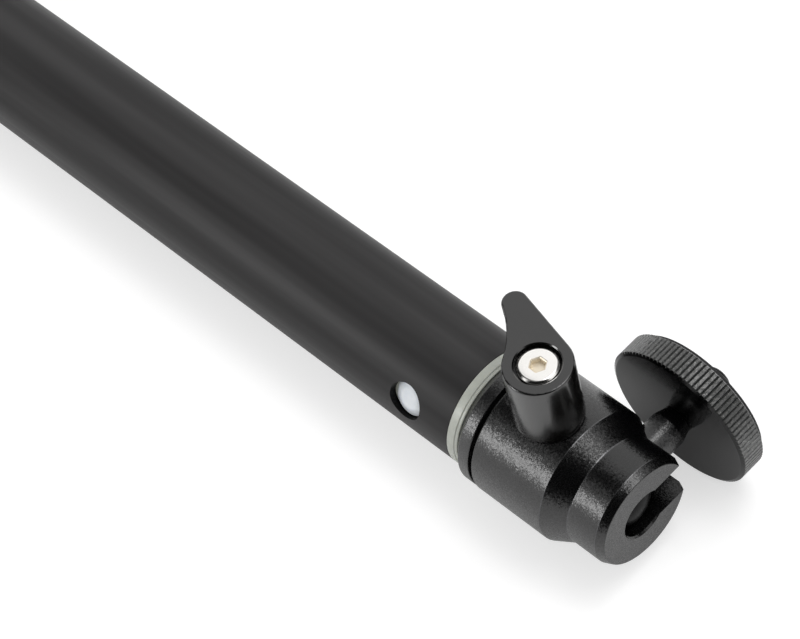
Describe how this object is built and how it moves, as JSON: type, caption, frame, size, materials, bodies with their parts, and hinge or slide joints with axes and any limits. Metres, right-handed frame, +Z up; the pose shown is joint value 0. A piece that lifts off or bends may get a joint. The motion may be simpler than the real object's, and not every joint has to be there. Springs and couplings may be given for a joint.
{
  "type": "extension pole",
  "caption": "Telescopic hand pole with twist locks, a clamped ball head and a knurled wheel that carries a quarter inch camera screw.",
  "frame": {"origin": "centre of the tripod socket's mouth, in the handle's flat end", "axes": "+X along the pole from the handle's end to the ball head; +Y the way the ball head's notch and the camera screw face; +Z up, the way the clamp lever stands on the head"},
  "size_m": [0.3478, 0.0441, 0.0433],
  "materials": {
    "anodised_tube": "satin black anodised",
    "blasted_aluminium": "blasted, dark grey anodised",
    "black_aluminium": "black anodised",
    "turned_aluminium": "turned, grey anodised",
    "bare_aluminium": "turned",
    "lock_alloy": "turned",
    "nylon": "natural nylon",
    "black_nylon": "matte",
    "black_plastic": "fine grain",
    "rubber": "matte",
    "brass": "turned",
    "steel": "turned",
    "black_steel": "black oxide",
    "chrome": "polished"
  },
  "bodies": {
    "handle": {"handle_tube": "anodised_tube", "handle_bush": "nylon", "grip_sleeve": "rubber", "end_cap": "black_plastic", "tripod_insert": "brass"},
    "mid_lock": {"mid_expander": "nylon"},
    "mid_section": {"mid_tube": "anodised_tube", "mid_bush": "nylon", "mid_lock_core": "lock_alloy"},
    "inner_lock": {"inner_expander": "nylon"},
    "inner_section": {"inner_tube": "anodised_tube", "inner_lock_core": "lock_alloy", "tip_plug": "bare_aluminium", "head_bolt": "steel", "base_ring": "black_aluminium", "pan_washer": "black_nylon", "pan_retainer": "steel"},
    "head": {"head_housing": "blasted_aluminium", "pan_plate": "bare_aluminium"},
    "lever": {"lever": "blasted_aluminium", "lever_screw": "chrome", "clamp_bolt": "steel"},
    "seat": {"ball_seat": "nylon"},
    "ball": {"ball_stem": "steel"},
    "platform": {"platform_wheel": "turned_aluminium", "platform_pad": "rubber", "camera_screw": "black_steel"}
  },
  "joints": [
    {"name": "mid_slide", "type": "slide", "parent": "handle", "child": "mid_lock", "axis": [1, 0, 0], "range_m": [0, 0.24]},
    {"name": "mid_twist", "type": "hinge", "parent": "mid_lock", "child": "mid_section", "pos_m": [0.0277, 0, 0], "axis": [1, 0, 0], "range_deg": [0, 180]},
    {"name": "inner_slide", "type": "slide", "parent": "mid_section", "child": "inner_lock", "axis": [1, 0, 0], "range_m": [0, 0.21]},
    {"name": "inner_twist", "type": "hinge", "parent": "inner_lock", "child": "inner_section", "pos_m": [0.06145, 0, 0], "axis": [1, 0, 0], "range_deg": [0, 180]},
    {"name": "head_pan", "type": "hinge", "parent": "inner_section", "child": "head", "pos_m": [0.31225, 0, 0], "axis": [1, 0, 0], "continuous": true},
    {"name": "lever_turn", "type": "hinge", "parent": "head", "child": "lever", "pos_m": [0.321, 0, 0.0133], "axis": [0, 0, 1], "range_deg": [0, 90]},
    {"name": "seat_slide", "type": "slide", "parent": "head", "child": "seat", "axis": [-1, 0, 0], "range_m": [0, 0.00025]},
    {"name": "ball_tilt", "type": "hinge", "parent": "head", "child": "ball", "pos_m": [0.33258, 0, 0], "axis": [0, 0, 1], "range_deg": [-96, 0]},
    {"name": "platform_spin", "type": "hinge", "parent": "ball", "child": "platform", "pos_m": [0.33258, 0, 0], "axis": [0, 1, 0], "continuous": true}
  ],
  "couplings": [
    {"joint": "seat_slide", "follows": "lever_turn", "m_per_rad": 0.000159}
  ]
}
